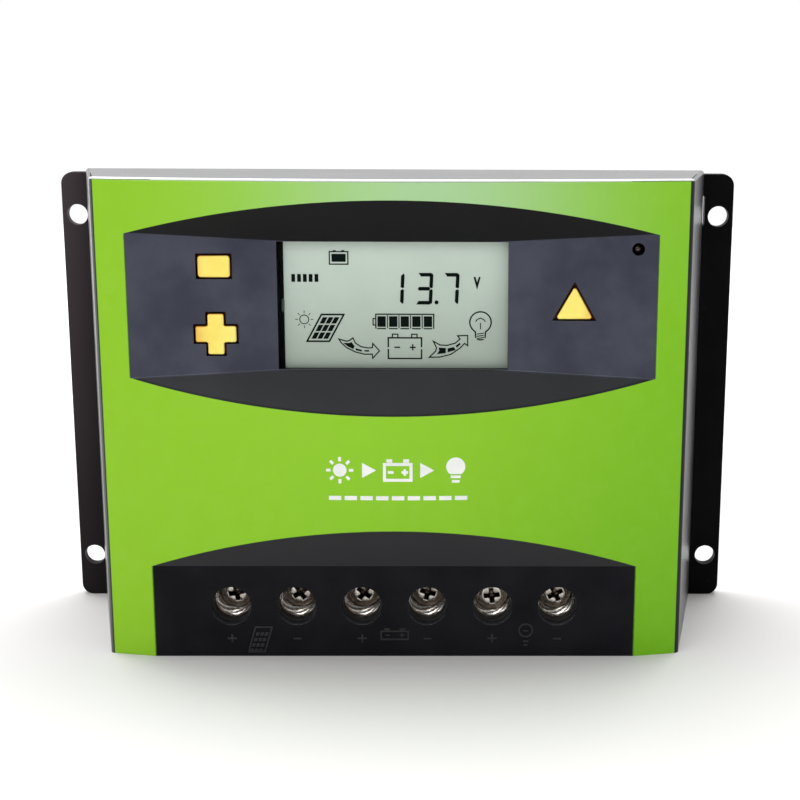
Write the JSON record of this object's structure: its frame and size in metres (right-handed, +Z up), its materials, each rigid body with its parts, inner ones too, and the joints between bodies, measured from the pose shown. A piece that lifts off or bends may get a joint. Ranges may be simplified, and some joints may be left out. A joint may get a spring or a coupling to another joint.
{
  "type": "solar charge controller",
  "caption": "Wall-mounted solar charge controller: bowed cover with a recessed display, push buttons and a status light, screw-clamp terminals along the foot, on a flanged metal back plate.",
  "frame": {"origin": "middle of the box around the part, at the height of its underside", "axes": "+X to the right of the face, +Z up, the face looks along -Y and the back plate is at +Y"},
  "size_m": [0.188, 0.0566, 0.1271],
  "materials": {
    "anodised_aluminium": "black anodised, satin",
    "cover": "moulded black plastic with a green painted face, satin",
    "dark_plastic": "moulded black plastic",
    "button": "pale yellow rubberised plastic",
    "nickel_plate": "nickel-plated brass, machined",
    "zinc_steel": "zinc-plated steel",
    "circuit_board": "green solder mask",
    "thermal_pad": "grey silicone sheet",
    "epoxy": "moulded black epoxy",
    "sleeve": "printed shrink sleeve",
    "fuse": "translucent orange plastic",
    "diffuser": "milky light guide",
    "lcd_glass": "reflective liquid crystal display glass",
    "led_lens": "tinted clear lens, unlit"
  },
  "bodies": {
    "case": {"back_plate": "anodised_aluminium", "front_cover": "cover", "terminal_housing": "dark_plastic", "terminal_post_1": "nickel_plate", "terminal_post_2": "nickel_plate", "terminal_post_3": "nickel_plate", "terminal_post_4": "nickel_plate", "terminal_post_5": "nickel_plate", "terminal_post_6": "nickel_plate", "power_board": "circuit_board", "face_board": "circuit_board", "board_screw_1": "zinc_steel", "board_screw_2": "zinc_steel", "board_screw_3": "zinc_steel", "board_screw_4": "zinc_steel", "case_screw_1": "zinc_steel", "case_screw_2": "zinc_steel", "case_screw_3": "zinc_steel", "case_screw_4": "zinc_steel", "thermal_pad": "thermal_pad", "mosfet_1": "epoxy", "mosfet_2": "epoxy", "mosfet_3": "epoxy", "mosfet_4": "epoxy", "mosfet_bar": "anodised_aluminium", "bar_screw_1": "zinc_steel", "bar_screw_2": "zinc_steel", "capacitor_1": "sleeve", "capacitor_2": "sleeve", "fuse_1": "fuse", "fuse_2": "fuse", "control_chip": "epoxy", "board_link": "dark_plastic", "lcd_backlight": "diffuser", "lcd_glass": "lcd_glass", "switch_minus": "dark_plastic", "switch_plus": "dark_plastic", "switch_load": "dark_plastic", "status_led": "led_lens"},
    "button_minus": {"button_minus": "button"},
    "button_plus": {"button_plus": "button"},
    "button_load": {"button_load": "button"},
    "clamp_1": {"clamp_pad_1": "nickel_plate"},
    "screw_1": {"terminal_screw_1": "zinc_steel"},
    "clamp_2": {"clamp_pad_2": "nickel_plate"},
    "screw_2": {"terminal_screw_2": "zinc_steel"},
    "clamp_3": {"clamp_pad_3": "nickel_plate"},
    "screw_3": {"terminal_screw_3": "zinc_steel"},
    "clamp_4": {"clamp_pad_4": "nickel_plate"},
    "screw_4": {"terminal_screw_4": "zinc_steel"},
    "clamp_5": {"clamp_pad_5": "nickel_plate"},
    "screw_5": {"terminal_screw_5": "zinc_steel"},
    "clamp_6": {"clamp_pad_6": "nickel_plate"},
    "screw_6": {"terminal_screw_6": "zinc_steel"}
  },
  "joints": [
    {"name": "press_minus", "type": "slide", "parent": "case", "child": "button_minus", "axis": [0, 1, 0], "range_m": [0, 0.0008], "stiffness_N_per_m": 400},
    {"name": "press_plus", "type": "slide", "parent": "case", "child": "button_plus", "axis": [0, 1, 0], "range_m": [0, 0.0008], "stiffness_N_per_m": 400},
    {"name": "press_load", "type": "slide", "parent": "case", "child": "button_load", "axis": [0, 1, 0], "range_m": [0, 0.0008], "stiffness_N_per_m": 400},
    {"name": "clamp_slide_1", "type": "slide", "parent": "case", "child": "clamp_1", "axis": [0, 1, 0], "range_m": [-0.001, 0.006]},
    {"name": "screw_turn_1", "type": "hinge", "parent": "clamp_1", "child": "screw_1", "pos_m": [-0.0432, 0, 0.0141], "axis": [0, 1, 0], "range_deg": [-361, 2161]},
    {"name": "clamp_slide_2", "type": "slide", "parent": "case", "child": "clamp_2", "axis": [0, 1, 0], "range_m": [-0.001, 0.006]},
    {"name": "screw_turn_2", "type": "hinge", "parent": "clamp_2", "child": "screw_2", "pos_m": [-0.02592, 0, 0.0141], "axis": [0, 1, 0], "range_deg": [-361, 2161]},
    {"name": "clamp_slide_3", "type": "slide", "parent": "case", "child": "clamp_3", "axis": [0, 1, 0], "range_m": [-0.001, 0.006]},
    {"name": "screw_turn_3", "type": "hinge", "parent": "clamp_3", "child": "screw_3", "pos_m": [-0.00864, 0, 0.0141], "axis": [0, 1, 0], "range_deg": [-361, 2161]},
    {"name": "clamp_slide_4", "type": "slide", "parent": "case", "child": "clamp_4", "axis": [0, 1, 0], "range_m": [-0.001, 0.006]},
    {"name": "screw_turn_4", "type": "hinge", "parent": "clamp_4", "child": "screw_4", "pos_m": [0.00864, 0, 0.0141], "axis": [0, 1, 0], "range_deg": [-361, 2161]},
    {"name": "clamp_slide_5", "type": "slide", "parent": "case", "child": "clamp_5", "axis": [0, 1, 0], "range_m": [-0.001, 0.006]},
    {"name": "screw_turn_5", "type": "hinge", "parent": "clamp_5", "child": "screw_5", "pos_m": [0.02592, 0, 0.0141], "axis": [0, 1, 0], "range_deg": [-361, 2161]},
    {"name": "clamp_slide_6", "type": "slide", "parent": "case", "child": "clamp_6", "axis": [0, 1, 0], "range_m": [-0.001, 0.006]},
    {"name": "screw_turn_6", "type": "hinge", "parent": "clamp_6", "child": "screw_6", "pos_m": [0.0432, 0, 0.0141], "axis": [0, 1, 0], "range_deg": [-361, 2161]}
  ],
  "couplings": [
    {"joint": "screw_turn_1", "follows": "clamp_slide_1", "rad_per_m": 6283.2},
    {"joint": "screw_turn_2", "follows": "clamp_slide_2", "rad_per_m": 6283.2},
    {"joint": "screw_turn_3", "follows": "clamp_slide_3", "rad_per_m": 6283.2},
    {"joint": "screw_turn_4", "follows": "clamp_slide_4", "rad_per_m": 6283.2},
    {"joint": "screw_turn_5", "follows": "clamp_slide_5", "rad_per_m": 6283.2},
    {"joint": "screw_turn_6", "follows": "clamp_slide_6", "rad_per_m": 6283.2}
  ]
}
